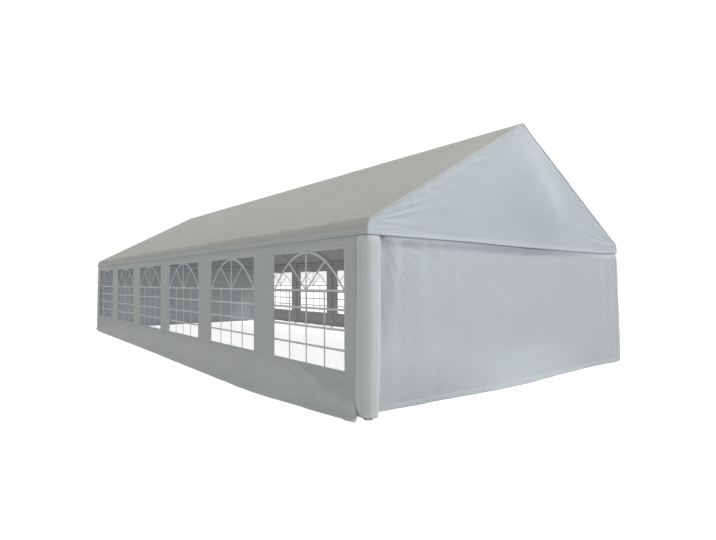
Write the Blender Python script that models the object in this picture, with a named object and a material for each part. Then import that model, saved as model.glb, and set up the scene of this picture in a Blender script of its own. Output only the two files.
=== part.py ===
"""Marquee tent: a steel tube frame with a fabric roof, gables, side walls and end walls.

Metres, +Z up. The origin is on the ground under the middle of the tent. The front
gable faces -Y and the two long sides face -X (left) and +X (right).
"""
import math

import bmesh
import bpy
from mathutils import Vector

# Driving dimensions of the tent
VALANCE_X = 2.995  # outer face of the valance
GABLE_Y = 6.10  # end of the roof cover
PITCH = math.radians(28.0)
RIDGE_LINE_Z = 3.645  # where the outer faces of the two slopes would meet
VALANCE_Z = 1.90
EAVE_RADIUS = 0.15  # outer radius of the fabric over the eave
BAY = 2.0
BAYS = 6

# Tubes and fittings
TUBE_R = 0.019
FITTING_R = 0.022
TUBE_SIDES = 12
LEG_X = 2.961
END_FRAME_Y = 6.06
SLOPE_OFFSET = 0.0276  # rafter centreline below the outer face of the roof
ELBOW_R = 0.12
SOCKET = 0.10  # length of a fitting's straight socket
FOOT_SIDE = 0.078
FOOT_THICK = 0.005
PURLIN_X = 1.48  # where the rafter passes over the purlin
TIE_Z = 1.95

# Fabric
CLOTH = 0.005
FIT = 0.0005  # gap between pieces that lie against each other
FILM = 0.0015
GABLE_HEM_Z = 1.91
GABLE_OUTER_Y = GABLE_Y - 0.0055
END_WALL_Z = (0.02, 1.975)

# Side walls
WALL_OUTER_X = VALANCE_X - CLOTH - FIT
WALL_TOP_Z = 1.955
WALL_BEND_Z = 0.40  # below this line the wall is drawn outwards
WALL_HEM_Z = 0.003
WALL_END_Y = 5.90
WALL_SPLIT = 0.0015  # half of the gap between the two panels of a side
WALL_CORNER_Y = 6.04  # the hem's end, drawn towards the corner
# Distance along the side from the middle, and how far the hem stands out there,
# on the back half and on the front half of the tent.
HEM_REACH = (
    (0.0, 3.23, 3.23),
    (1.4, 3.20, 3.27),
    (2.8, 3.18, 3.30),
    (4.1, 3.16, 3.33),
    (5.2, 3.14, 3.22),
    (WALL_END_Y, 3.12, 3.12),
)
WINDOW_WIDTH = 1.45
WINDOW_Z = (0.44, 1.77)
WINDOW_Y = (1.0, 3.0, 5.0)
FILM_LAP = 0.035

# Corner covers
COVER_SIDE = 0.20
COVER_R = 0.03
COVER_Z = (0.012, 1.925)

TAN, COS, SIN = math.tan(PITCH), math.cos(PITCH), math.sin(PITCH)
RAFTER_LINE_Z = RIDGE_LINE_Z - SLOPE_OFFSET / COS


def clear_scene():
    for obj in list(bpy.data.objects):
        bpy.data.objects.remove(obj)


def material(name, colour, roughness, metallic=0.0, alpha=1.0):
    mat = bpy.data.materials.new(name)
    mat.use_nodes = True
    shader = mat.node_tree.nodes["Principled BSDF"]
    shader.inputs["Base Color"].default_value = (*colour, 1.0)
    shader.inputs["Roughness"].default_value = roughness
    shader.inputs["Metallic"].default_value = metallic
    shader.inputs["Alpha"].default_value = alpha
    return mat


def loft(name, rings):
    """A closed mesh through rings of equal length, with a cap on each end."""
    bm = bmesh.new()
    rows = [[bm.verts.new(p) for p in ring] for ring in rings]
    count = len(rows[0])
    for low, high in zip(rows, rows[1:]):
        for i in range(count):
            j = (i + 1) % count
            bm.faces.new((low[i], low[j], high[j], high[i]))
    bm.faces.new(rows[0])
    bm.faces.new(rows[-1])
    return finish_mesh(name, bm)


def finish_mesh(name, bm):
    bmesh.ops.recalc_face_normals(bm, faces=bm.faces)
    mesh = bpy.data.meshes.new(name)
    bm.to_mesh(mesh)
    bm.free()
    return mesh


def triangulate(mesh):
    """Splits the twisted faces of a lofted sheet into flat ones."""
    bm = bmesh.new()
    bm.from_mesh(mesh)
    bmesh.ops.triangulate(bm, faces=bm.faces)
    bm.to_mesh(mesh)
    bm.free()


def add(name, mesh, mat, location=(0, 0, 0), rotation=(0, 0, 0)):
    obj = bpy.data.objects.new(name, mesh)
    if not mesh.materials:
        mesh.materials.append(mat)
    obj.location = location
    obj.rotation_euler = rotation
    bpy.context.scene.collection.objects.link(obj)
    return obj


def add_guide(name, mesh, mat):
    """An object that only cuts or joins another one."""
    obj = add(name, mesh, mat)
    obj.hide_render = True
    obj.display_type = "WIRE"
    return obj


def combine(obj, guide, operation):
    mod = obj.modifiers.new(operation.title(), "BOOLEAN")
    mod.operation = operation
    mod.object = guide


def smooth(mesh):
    mesh.shade_smooth()
    mesh.set_sharp_from_angle(angle=math.radians(40))


def ring(centre, normal, radius, sides=TUBE_SIDES):
    """Points of a circle about centre, square to normal."""
    turn = Vector(normal).to_track_quat("Z", "Y")
    centre = Vector(centre)
    angles = [math.tau * i / sides for i in range(sides)]
    return [centre + turn @ Vector((radius * math.cos(a), radius * math.sin(a), 0)) for a in angles]


def rod_mesh(name, start, end, radius=TUBE_R):
    direction = Vector(end) - Vector(start)
    mesh = loft(name, [ring(start, direction, radius), ring(end, direction, radius)])
    smooth(mesh)
    return mesh


def rafter_line(x):
    """Height of the rafter's centreline at a distance from the ridge."""
    return RAFTER_LINE_Z - TAN * x


def roof_line(inset, bottom):
    """The roof's profile from the ridge to the valance's hem, inset from the outer face."""
    points = []
    ridge_r = SLOPE_OFFSET - inset
    for i in range(4):
        a = PITCH * i / 3
        points.append((ridge_r * math.sin(a), RAFTER_LINE_Z + ridge_r * math.cos(a)))
    centre_x = VALANCE_X - EAVE_RADIUS
    centre_z = RIDGE_LINE_Z - TAN * centre_x - EAVE_RADIUS / COS
    eave_r = EAVE_RADIUS - inset
    steps = 8
    for i in range(steps + 1):
        a = PITCH + (math.pi / 2 - PITCH) * i / steps
        points.append((centre_x + eave_r * math.sin(a), centre_z + eave_r * math.cos(a)))
    points.append((VALANCE_X - inset, bottom))
    return points


def prism(name, outline, near, far):
    """An outline in X and Z, extruded along Y."""
    return loft(name, [[(x, y, z) for x, z in outline] for y in (near, far)])


def frame_stations():
    """The seven frames' places along the tent, front to back."""
    inner = [BAY * (i - BAYS / 2) for i in range(1, BAYS)]
    return [-END_FRAME_Y, *inner, END_FRAME_Y]


def foot_ring(side, z):
    """A square with its sides split in three, so that it has as many points as a tube."""
    half = side / 2
    points = []
    for quarter in range(4):
        for part in (1, 1 / 3, -1 / 3):
            x, y = half * part, half
            for _ in range(quarter):
                x, y = -y, x
            points.append((x, y, z))
    return points


def leg_ring(z):
    """A tube's ring that starts on the diagonal, as the foot's does."""
    angles = [math.pi / 4 + math.tau * i / TUBE_SIDES for i in range(TUBE_SIDES)]
    return [(TUBE_R * math.cos(a), TUBE_R * math.sin(a), z) for a in angles]


def elbow_start():
    """Height where the leg line runs into the elbow's bend."""
    corner_z = rafter_line(LEG_X)
    return corner_z - ELBOW_R * math.tan((math.pi / 2 - PITCH) / 2)


def elbow_centre():
    return LEG_X - ELBOW_R, elbow_start()


def elbow_point(angle, radius=ELBOW_R):
    """A point of the bend, its angle counted from level outwards."""
    x, z = elbow_centre()
    return x + radius * math.cos(angle), z + radius * math.sin(angle)


def leg_top():
    return elbow_start() - SOCKET - FIT


def rafter_ends():
    """Distances from the ridge, along the slope, of the rafter's two ends."""
    bend_end = elbow_point(math.pi / 2 - PITCH)[0] / COS
    return SOCKET + 0.02 + FIT, bend_end - SOCKET - FIT


def elbow_rings(side, y):
    rings = []
    down = (0, 0, 1)
    rings.append(ring((side * LEG_X, y, elbow_start() - SOCKET), down, FITTING_R))
    steps = 4
    for i in range(steps + 1):
        a = (math.pi / 2 - PITCH) * i / steps
        x, z = elbow_point(a)
        tangent = (-side * math.sin(a), 0, math.cos(a))
        rings.append(ring((side * x, y, z), tangent, FITTING_R))
    x, z = elbow_point(math.pi / 2 - PITCH)
    tangent = (-side * COS, 0, SIN)
    rings.append(ring((side * (x - SOCKET * COS), y, z + SOCKET * SIN), tangent, FITTING_R))
    return rings


def many(name, groups):
    """One mesh of several lofts, for a guide."""
    bm = bmesh.new()
    for rings in groups:
        bm.from_mesh(loft("piece", rings))
    return finish_mesh(name, bm)


def make_legs(mat):
    foot = [foot_ring(FOOT_SIDE, 0), foot_ring(FOOT_SIDE, FOOT_THICK)]
    mesh = loft("leg", [*foot, leg_ring(FOOT_THICK), leg_ring(leg_top())])
    smooth(mesh)
    for side, word in ((-1, "left"), (1, "right")):
        for i, y in enumerate(frame_stations(), 1):
            add(f"leg_{word}_{i}", mesh, mat, (side * LEG_X, y, 0))


def make_rafters(mat):
    top, bottom = rafter_ends()
    mesh = rod_mesh("rafter", (0, 0, 0), (bottom - top, 0, 0))
    for side, word in ((-1, "left"), (1, "right")):
        turn = 0 if side > 0 else math.pi
        for i, y in enumerate(frame_stations(), 1):
            place = (side * top * COS, y, RAFTER_LINE_Z - top * SIN)
            add(f"rafter_{word}_{i}", mesh, mat, place, (0, PITCH, turn))


def make_ridge_rail(mat):
    z = RAFTER_LINE_Z
    mesh = rod_mesh("ridge_rail", (0, -END_FRAME_Y, z), (0, END_FRAME_Y, z))
    rail = add("ridge_rail", mesh, mat)
    reach = SOCKET + 0.02
    for side in (-1, 1):
        groups = []
        for y in frame_stations():
            start, end = (0, y, z), (side * reach * COS, y, z - reach * SIN)
            along = (side * COS, 0, -SIN)
            groups.append([ring(start, along, FITTING_R), ring(end, along, FITTING_R)])
        guide = add_guide(f"ridge_fittings_{side + 1}", many("ridge_fittings", groups), mat)
        combine(rail, guide, "UNION")


def make_eave_rails(mat):
    middle = (math.pi / 2 - PITCH) / 2
    x, z = elbow_point(middle)
    for side, word in ((-1, "left"), (1, "right")):
        name = f"eave_rail_{word}"
        start, end = (side * x, -END_FRAME_Y, z), (side * x, END_FRAME_Y, z)
        rail = add(name, rod_mesh(name, start, end), mat)
        groups = [elbow_rings(side, y) for y in frame_stations()]
        guide = add_guide(f"elbows_{word}", many("elbows", groups), mat)
        combine(rail, guide, "UNION")


def make_purlins(mat):
    drop = 2 * TUBE_R + FIT
    x = PURLIN_X - drop * SIN
    z = rafter_line(PURLIN_X) - drop * COS
    reach = END_FRAME_Y + TUBE_R
    for side, word in ((-1, "left"), (1, "right")):
        name = f"purlin_{word}"
        add(name, rod_mesh(name, (side * x, -reach, z), (side * x, reach, z)), mat)


def make_end_ties(mat):
    half = LEG_X - FITTING_R - FIT
    mesh = rod_mesh("end_tie", (-half, 0, 0), (half, 0, 0))
    for y, word in ((-END_FRAME_Y, "front"), (END_FRAME_Y, "back")):
        add(f"end_tie_{word}", mesh, mat, (0, y, TIE_Z))


def make_roof(mat):
    half = roof_line(0, VALANCE_Z) + roof_line(CLOTH, VALANCE_Z)[::-1]
    gap = FIT / 2
    half = [(max(x, gap), z) for x, z in half]
    for side, word in ((-1, "left"), (1, "right")):
        outline = [(side * x, z) for x, z in half]
        name = f"roof_{word}"
        add(name, prism(name, outline, -GABLE_Y, GABLE_Y), mat)


def make_gables(mat):
    right = roof_line(CLOTH + FIT, GABLE_HEM_Z)
    left = [(-x, z) for x, z in right[:0:-1]]
    for side, word in ((-1, "front"), (1, "back")):
        outer = side * GABLE_OUTER_Y
        inner = side * (GABLE_OUTER_Y - CLOTH)
        name = f"gable_{word}"
        add(name, prism(name, right + left, inner, outer), mat)


def skirt_rings(side, front):
    """Cross sections of a side wall's foot, from the middle of the tent to its end."""
    rings = []
    flip = -1 if front else 1
    top_z = WALL_BEND_Z - FIT
    for along, back_reach, front_reach in HEM_REACH:
        y = max(along, WALL_SPLIT)
        hem_y = WALL_CORNER_Y if along == WALL_END_Y else y
        hem_x = front_reach if front else back_reach
        outer = [(WALL_OUTER_X, y, top_z), (hem_x, hem_y, WALL_HEM_Z)]
        inner = [(px - CLOTH, py, pz) for px, py, pz in reversed(outer)]
        rings.append([(side * px, flip * py, pz) for px, py, pz in (*outer, *inner)])
    return rings


def box_rings(x_range, y_range, z_range):
    corners = [(x_range[a], y_range[b]) for a, b in ((0, 0), (1, 0), (1, 1), (0, 1))]
    return [[(x, y, z) for x, y in corners] for z in z_range]


def make_side_walls(mat, film_mat):
    half = WINDOW_WIDTH / 2
    for side, word in ((-1, "left"), (1, "right")):
        x_range = (side * (WALL_OUTER_X - CLOTH), side * WALL_OUTER_X)
        cut_x_range = (side * (WALL_OUTER_X - 2 * CLOTH), side * (WALL_OUTER_X + CLOTH))
        for flip, end in ((-1, "front"), (1, "back")):
            name = f"side_wall_{word}_{end}"
            y_range = (flip * WALL_SPLIT, flip * WALL_END_Y)
            rings = box_rings(x_range, y_range, (WALL_BEND_Z, WALL_TOP_Z))
            wall = add(name, loft(name, rings), mat)
            cuts = []
            for y in WINDOW_Y:
                cuts.append(box_rings(cut_x_range, (flip * y - half, flip * y + half), WINDOW_Z))
            guide = add_guide(f"windows_{word}_{end}", many("windows", cuts), mat)
            combine(wall, guide, "DIFFERENCE")
            skirt = f"wall_skirt_{word}_{end}"
            mesh = loft(skirt, skirt_rings(side, flip < 0))
            triangulate(mesh)
            add(skirt, mesh, mat)
            make_film(side, flip, f"window_film_{word}_{end}", film_mat)


def make_film(side, flip, name, mat):
    outer = WALL_OUTER_X - CLOTH - FIT
    reach = WINDOW_WIDTH / 2 + FILM_LAP
    y_range = (flip * (WINDOW_Y[0] - reach), flip * (WINDOW_Y[-1] + reach))
    z_range = (WINDOW_Z[0] - FILM_LAP, WINDOW_Z[1] + FILM_LAP)
    add(name, loft(name, box_rings((side * (outer - FILM), side * outer), y_range, z_range)), mat)


def make_end_walls(mat):
    half = WALL_OUTER_X - COVER_SIDE - FIT
    outer = END_FRAME_Y - TUBE_R - FIT
    for flip, word in ((-1, "front"), (1, "back")):
        y_range = (flip * (outer - CLOTH), flip * outer)
        name = f"end_wall_{word}"
        add(name, loft(name, box_rings((-half, half), y_range, END_WALL_Z)), mat)


def rounded_square(side, radius, z):
    """A square ring with round corners, about the origin."""
    points = []
    centre = side / 2 - radius
    steps = 4
    for quarter in range(4):
        turn = math.pi / 2 * quarter
        cx = centre * (1 if quarter in (0, 3) else -1)
        cy = centre * (1 if quarter in (0, 1) else -1)
        for i in range(steps + 1):
            a = turn + math.pi / 2 * i / steps
            points.append((cx + radius * math.cos(a), cy + radius * math.sin(a), z))
    return points


def make_corner_covers(mat):
    outer = [rounded_square(COVER_SIDE, COVER_R, z) for z in COVER_Z]
    inner = [rounded_square(COVER_SIDE - 2 * CLOTH, COVER_R - CLOTH, z) for z in COVER_Z]
    bm = bmesh.new()
    loops = [outer[0], outer[1], inner[1], inner[0]]
    rows = [[bm.verts.new(p) for p in points] for points in loops]
    count = len(rows[0])
    for k, row in enumerate(rows):
        following = rows[(k + 1) % len(rows)]
        for i in range(count):
            j = (i + 1) % count
            bm.faces.new((row[i], row[j], following[j], following[i]))
    mesh = finish_mesh("corner_cover", bm)
    smooth(mesh)
    x = WALL_OUTER_X - COVER_SIDE / 2
    y = GABLE_OUTER_Y - CLOTH - FIT - COVER_SIDE / 2
    for side, word in ((-1, "left"), (1, "right")):
        for flip, end in ((-1, "front"), (1, "back")):
            add(f"corner_cover_{end}_{word}", mesh, mat, (side * x, flip * y, 0))


def main():
    clear_scene()
    steel = material("galvanised_steel", (0.62, 0.63, 0.64), 0.42, 0.9)
    roof = material("roof_fabric", (0.60, 0.61, 0.58), 0.55)
    gable = material("gable_fabric", (0.66, 0.69, 0.71), 0.55)
    wall = material("wall_fabric", (0.55, 0.57, 0.56), 0.6)
    end = material("end_fabric", (0.62, 0.65, 0.66), 0.6)
    cover = material("cover_fabric", (0.64, 0.67, 0.66), 0.6)
    film = material("window_film", (0.9, 0.92, 0.92), 0.1, alpha=0.25)
    make_legs(steel)
    make_rafters(steel)
    make_ridge_rail(steel)
    make_eave_rails(steel)
    make_purlins(steel)
    make_end_ties(steel)
    make_roof(roof)
    make_gables(gable)
    make_side_walls(wall, film)
    make_end_walls(end)
    make_corner_covers(cover)


main()
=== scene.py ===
"""Looks of the marquee tent: coated fabric with hems, seams and creases over a steel frame.

Metres, in the frame's own axes: +Z up, the front gable faces -Y, the left side -X.
"""

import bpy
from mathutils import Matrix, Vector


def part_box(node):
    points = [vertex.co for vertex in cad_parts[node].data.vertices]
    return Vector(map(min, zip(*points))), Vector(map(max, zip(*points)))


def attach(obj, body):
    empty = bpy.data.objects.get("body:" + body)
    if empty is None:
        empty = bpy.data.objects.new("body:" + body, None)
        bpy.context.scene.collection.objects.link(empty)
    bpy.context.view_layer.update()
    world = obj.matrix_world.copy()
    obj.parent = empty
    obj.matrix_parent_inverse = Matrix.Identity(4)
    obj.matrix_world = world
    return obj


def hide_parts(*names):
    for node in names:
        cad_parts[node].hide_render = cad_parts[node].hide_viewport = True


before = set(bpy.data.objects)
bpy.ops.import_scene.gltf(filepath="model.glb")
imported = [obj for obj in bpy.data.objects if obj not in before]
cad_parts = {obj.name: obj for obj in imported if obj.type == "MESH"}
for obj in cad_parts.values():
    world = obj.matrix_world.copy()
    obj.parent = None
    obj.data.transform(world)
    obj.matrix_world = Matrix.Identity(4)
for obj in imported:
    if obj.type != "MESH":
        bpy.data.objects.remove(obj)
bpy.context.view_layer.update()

import math

import bpy
import numpy as np
from mathutils import Matrix, Vector

# Sizes read from the frame
ROOF_LOW, ROOF_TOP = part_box("roof_right")
HALF_W, HALF_L = ROOF_TOP.x, ROOF_TOP.y
VALANCE_Z, RIDGE_Z = ROOF_LOW.z, ROOF_TOP.z
WALL_LOW, WALL_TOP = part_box("side_wall_right_front")
WALL_X, WALL_TOP_Z = WALL_TOP.x, WALL_TOP.z
WALL_BEND_Z = WALL_LOW.z
WALL_END_Y = -WALL_LOW.y
HEM_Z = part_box("wall_skirt_right_front")[0].z
FILM_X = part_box("window_film_right_front")[1].x
GABLE_LOW, GABLE_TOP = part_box("gable_back")
GABLE_HEM_Z = GABLE_LOW.z - 0.012  # the hem hangs a little lower than the solid
END_LOW, END_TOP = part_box("end_wall_back")
COVER_LOW, COVER_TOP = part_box("corner_cover_back_right")

# Cloth, hems and welds
CLOTH = 0.0012
FILM = 0.0005
WEAVE = 0.004  # the length after which the weave repeats
HEM_W = 0.045
HEM_STEP = HEM_W + 0.002  # where the slope of a hem's inner edge ends
STITCH = HEM_W * 0.86  # the stitching's distance from the edge
HEM_MARKS = (0.006, STITCH - 0.003, STITCH, STITCH + 0.003, HEM_W, HEM_STEP)
WELD_EDGE = 0.002  # the sloping edge of a welded strip
EYELET_IN = 0.022  # an eyelet's distance from the edge

# The roof's section
PITCH = math.radians(28.0)
EAVE_R = 0.15
RIDGE_R = 0.0276
FRAMES_Y = (-6.06, -4.0, -2.0, 0.0, 2.0, 4.0, 6.06)
RAKE_R = 0.016  # the fold of the roof over the end frames, at the ridge and the eaves
RAKE_WIDE = 0.027  # and along the rafters
RAKE_FREE = 0.10  # the roof's own creases end this far from the rake
ROOF_SEAM = 0.016  # half the width of a welded seam
GABLE_HALF = 2.99  # just past where the gable goes under the roof's fold

# Windows
WINDOW_Y = (1.0, 3.0, 5.0)
WINDOW_HALF = 0.725
SILL_Z, HEAD_Z = 0.44, 1.77
SPRING_Z = 1.31
BAR_Z = (0.66, 0.88, 1.10)
BAR_W = 0.026
SPOKE_Y = 0.37  # where the two spokes end under the arch
WELD_W = 0.032
FILM_LAP = 0.03

# How far the side wall's hem stands out, by distance from the middle, back and front half
HEM_Y = (0.0, 1.4, 2.8, 4.1, 5.2, 5.9)
HEM_BACK = (3.23, 3.20, 3.18, 3.16, 3.14, 3.12)
HEM_FRONT = (3.23, 3.27, 3.30, 3.33, 3.25, 3.13)
HEM_CORNER = 0.18  # the hem's end is drawn this far past the panel's edge
PLAIN_FLARE = 2.0  # how suddenly the wall turns outwards at its foot
FLARE = 14.0  # and at its end
PEGS_Y = (0.12, 2.05, 4.1, 5.85)
OVERLAP = 0.05  # of the front panel over the back one
WALL_SEAMS_Y = (2.0, 4.0)
WALL_SEAM = 0.014  # half the width of a welded seam
TOP_BAND_Z = (1.868, 1.870)  # the lower edge of the band along the top
WALL_EYELETS_Y = (0.06, 1.0, 2.05, 3.05, 4.1, 5.0, WALL_END_Y - 0.025)

# Folds under the windows: start and end as (y, z), width and depth
WALL_CREASES = (
    ((4.20, 0.38), (4.66, 0.05), 0.024, 0.014),
    ((4.27, 0.43), (4.92, 0.10), 0.028, -0.016),
    ((4.42, 0.43), (5.16, 0.18), 0.028, 0.018),
    ((4.80, 0.42), (5.50, 0.16), 0.030, -0.016),
    ((3.50, 0.36), (3.92, 0.08), 0.026, 0.012),
    ((5.76, 0.40), (5.10, 0.06), 0.050, 0.012),
)

# The end wall's hem, seen from outside: places from left to right and how far it stands out
END_HEM_X = (-2.79, -2.25, -1.75, -1.34, -0.875, -0.35, 0.24, 0.98, 1.84, 2.45, 2.95)
END_HEM_OUT = (-0.045, -0.044, -0.032, 0.014, 0.050, 0.080, 0.078, 0.045, 0.0, -0.012, 0.0)
END_LAP = 0.16  # the end wall laps this far over the sleeve on its right
AT_TIE = 0.0445  # how far the end wall stands off its solid at the end tie
AT_SLEEVE = 0.0515  # and where it laps over the sleeve
SWELL = 0.0225  # how far it swells out between the two

# How far each corner sleeve stands out at its foot, and where the side wall's hem ends beside it
SLEEVE_LEAN = {
    "front_left": (0.0, 3.14),
    "front_right": (0.078, 3.10),
    "back_left": (0.03, 3.05),
    "back_right": (0.02, 3.12),
}

# The sleeves on an end wall's left and right, seen from outside
SLEEVE_IN_Z = (0.0, 0.2, 0.7, 1.2, 1.9)  # how much wider the left one is, by height
SLEEVE_IN = (-0.030, -0.014, 0.016, 0.027, 0.030)
SLEEVE_OUT = 0.0146  # how far it is rounded out over its leg
SLEEVE_FRONT = 0.016  # how far the right one stands forward, with the end wall that laps over it
FRONT_Z = (1.80, 1.895)  # and the heights between which it comes back
SLEEVE_UNDER = 0.018  # how far a sleeve's lower part reaches under the side wall
SLEEVE_INSET = 0.0032  # how far its plain outline lies inside the solid
ELBOW_R = 0.026  # the outer corner where a sleeve goes round the frame's elbow
ELBOW_Z = (1.86, 1.905)  # the heights between which the left one turns square for it

# The radii of a sleeve's corners: outer, by the end wall, inner and by the side wall
LEFT_RADII = (0.08, 0.045, 0.020, 0.009)
RIGHT_RADII = (ELBOW_R, 0.020, 0.020, 0.009)

# The photograph's camera, found from the tent's own corners
CAMERA_AT = (-6.3123, -9.6894, 1.402)
YAW, TILT, ROLL = 0.6351, 0.0266, 0.0033
LENS, SHIFT_X = 23.883, 0.0608

# Brightness of the studio's walls and ceiling, the light from below, the floor and the ground inside
SURROUND = 1.02
CEILING = 0.12
FROM_BELOW = 0.21
FLOOR = 0.88
UNDER_TENT = 0.38


# Numbers over a surface

def noise(u, v, seed):
    """Smooth noise from about -1 to 1 with cells of one unit."""
    table = np.random.default_rng(seed).uniform(-1, 1, (128, 128))
    iu, iv = np.floor(u).astype(int), np.floor(v).astype(int)
    fu, fv = u - iu, v - iv
    fu, fv = fu * fu * (3 - 2 * fu), fv * fv * (3 - 2 * fv)

    def at(a, b):
        return table[(iu + a) % 128, (iv + b) % 128]

    low = at(0, 0) * (1 - fu) + at(1, 0) * fu
    high = at(0, 1) * (1 - fu) + at(1, 1) * fu
    return low * (1 - fv) + high * fv


def cloudy(u, v, seed, octaves=3):
    total = 0
    for k in range(octaves):
        total = total + noise(u * 2**k, v * 2**k, seed + k) / 2**k
    return total / 1.75


def stacked(*arrays):
    return np.stack(arrays, axis=-1)


def ramp(x, low, high):
    """0 below low, 1 above high and smooth between."""
    t = np.clip((x - low) / (high - low), 0, 1)
    return t * t * (3 - 2 * t)


def bell(x, width=1.0):
    return np.exp(-((x / width) ** 2))


def hump(x, start, full, end, gone):
    """A smooth rise from start to full and a smooth fall from end to gone."""
    return ramp(x, start, full) * (1 - ramp(x, end, gone))


def rake_ruffle(s):
    """Small puckers along the rake, where the gable is drawn up to the roof."""
    return 0.0024 * noise(s / 0.085, s * 0, 77) + 0.0020 * noise(s / 0.2, s * 0 + 5, 77)


def crease(u, v, start, end, width, depth):
    """A fold along a line: sharp at its start, wider and weaker to its end."""
    du, dv = end[0] - start[0], end[1] - start[1]
    length = math.hypot(du, dv)
    t = ((u - start[0]) * du + (v - start[1]) * dv) / length**2
    off = ((v - start[1]) * du - (u - start[0]) * dv) / length
    inside = np.clip(t, 0, 1)
    fade = ramp(inside, 0, 0.12) * (1 - inside) ** 1.3
    x = off / (width * (0.35 + inside))
    return depth * fade * (bell(x) - 0.55 * bell(x - 1.7) - 0.25 * bell(x + 1.9))


def fan(u, v, apex, aims, width, depth, seed, reach):
    """Creases that run out from one point to the directions in aims, in degrees."""
    rng = np.random.default_rng(seed)
    total = np.zeros_like(u)
    for angle in aims:
        a = math.radians(angle + rng.uniform(-3, 3))
        length = rng.uniform(*reach)
        end = (apex[0] + length * math.cos(a), apex[1] + length * math.sin(a))
        signed = rng.choice((-1, 1)) * depth
        total += crease(u, v, apex, end, width * rng.uniform(0.6, 1.4), signed * rng.uniform(0.5, 1.2))
    return total


def twin_fans(u, v, apart, height, aims, width, depth, seed, reach, right=1.0):
    """A fan to the left of the middle and its mirror image, whose depth is multiplied by right."""
    turned = [180 - angle for angle in aims]
    total = fan(u, v, (-apart, height), aims, width, depth, seed - 1, reach)
    return total + fan(u, v, (apart, height), turned, width, depth * right, seed + 1, reach)


def through(x, places, values):
    """A smooth curve through the values at the places."""
    places, values = np.array(places), np.array(values)
    slope = np.gradient(values, places)
    x = np.clip(x, places[0], places[-1])
    k = np.clip(np.searchsorted(places, x) - 1, 0, len(places) - 2)
    gap = places[k + 1] - places[k]
    t = (x - places[k]) / gap
    bend = t * t * (3 - 2 * t)
    lean = slope[k] * t * (1 - t) ** 2 - slope[k + 1] * t * t * (1 - t)
    return values[k] * (1 - bend) + values[k + 1] * bend + lean * gap


def samples(breaks, step):
    """Sorted values through all the breaks, no further apart than step."""
    breaks = sorted(set(round(b, 5) for b in breaks))
    values = [breaks[0]]
    for low, high in zip(breaks, breaks[1:]):
        n = max(1, math.ceil((high - low) / step - 1e-6))
        values += [low + (high - low) * k / n for k in range(1, n + 1)]
    return np.array(values)


def band(centre, half):
    """The break values of a welded strip with narrow sloping edges."""
    return [centre - half - WELD_EDGE, centre - half, centre + half, centre + half + WELD_EDGE]


def raised(x, centre, half):
    """1 on a welded strip, 0 beside it."""
    return hump(x, *band(centre, half))


def hem_relief(from_edge, thick=0.0011, groove=0.0016):
    """A hem's double thickness with the groove of its stitching, by distance from the edge."""
    stitched = 1 - ramp(np.abs(from_edge - STITCH), 0.001, 0.0035)
    return thick * (1 - ramp(from_edge, HEM_W, HEM_STEP)) - groove * stitched


def edge_rows(low, high, step, at_high=True, more=()):
    """Values from low to high with the lines of a hem at the low end, or at both."""
    breaks = [low, high, *more, *(low + m for m in HEM_MARKS)]
    if at_high:
        breaks += [high - m for m in HEM_MARKS]
    return samples(breaks, step)


def nearest(values, target):
    return np.abs(values - target).argmin()


def side_word(side):
    return "left" if side < 0 else "right"


def end_word(front):
    return "front" if front else "back"


# Making pieces

def normals(points, outward):
    """The directions square to a grid of points, on the side that outward points to."""
    n = np.cross(np.gradient(points, axis=0), np.gradient(points, axis=1))
    n /= np.maximum(np.linalg.norm(n, axis=2, keepdims=True), 1e-12)
    sign = np.sign((n * np.asarray(outward, float)).sum(axis=2).mean())
    return n * (sign or 1)


def grid_mesh(name, points, outward, uv, keep=None, ring=False):
    """A mesh over a grid of points, its faces turned outward, with a UV map in metres."""
    nu, nv = points.shape[:2]
    index = np.arange(nu * nv).reshape(nu, nv)
    if ring:
        index = np.vstack([index, index[:1]])
    quads = stacked(index[:-1, :-1], index[1:, :-1], index[1:, 1:], index[:-1, 1:])
    if keep is not None:
        quads = quads[keep]
    quads = quads.reshape(-1, 4)
    flat = points.reshape(-1, 3)
    p = flat[quads]
    facing = np.cross(p[:, 1] - p[:, 0], p[:, 2] - p[:, 0])
    away = outward(p.mean(axis=1)) if callable(outward) else outward
    if (facing * away).sum() < 0:
        quads = quads[:, ::-1]
    used, quads = np.unique(quads, return_inverse=True)
    quads = quads.reshape(-1, 4)
    mesh = bpy.data.meshes.new(name)
    mesh.from_pydata(flat[used].tolist(), [], quads.tolist())
    layer = mesh.uv_layers.new(name="metres")
    coords = np.asarray(uv, float).reshape(-1, 2)[used][quads.reshape(-1)]
    layer.data.foreach_set("uv", coords.astype(np.float32).reshape(-1))
    mesh.shade_smooth()
    return mesh


def piece(name, mesh, mat, slot, *nodes, thick=None):
    """An object of the tent, with its material and the CAD nodes that it replaces. The slot argument is not
    used.
    """
    obj = bpy.data.objects.new(name, mesh)
    bpy.context.scene.collection.objects.link(obj)
    mesh.materials.append(mat)
    if thick:
        obj.modifiers.new("thickness", "SOLIDIFY").thickness = thick
    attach(obj, "root")
    if nodes:
        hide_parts(*nodes)
    return obj


def mesh_of(name, parts):
    """One mesh from several (points, faces) parts, smooth but for its sharp edges."""
    points, faces = [], []
    for p, f in parts:
        faces += [tuple(i + len(points) for i in face) for face in f]
        points += [tuple(q) for q in p]
    mesh = bpy.data.meshes.new(name)
    mesh.from_pydata(points, [], faces)
    mesh.shade_smooth()
    mesh.set_sharp_from_angle(angle=math.radians(50))
    return mesh


def faces_between(sections, count, closed=True):
    """The faces between neighbouring sections with count points each."""
    faces = []
    for i in range(sections if closed else sections - 1):
        j = (i + 1) % sections
        for k in range(count):
            m = (k + 1) % count
            faces.append((i * count + k, j * count + k, j * count + m, i * count + m))
    return faces


def bevelled(width, low, high, bevel):
    """The section of a flat strip: places across it and heights."""
    half = width / 2
    return ((-half, low), (-half + bevel, high), (half - bevel, high), (half, low))


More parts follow.
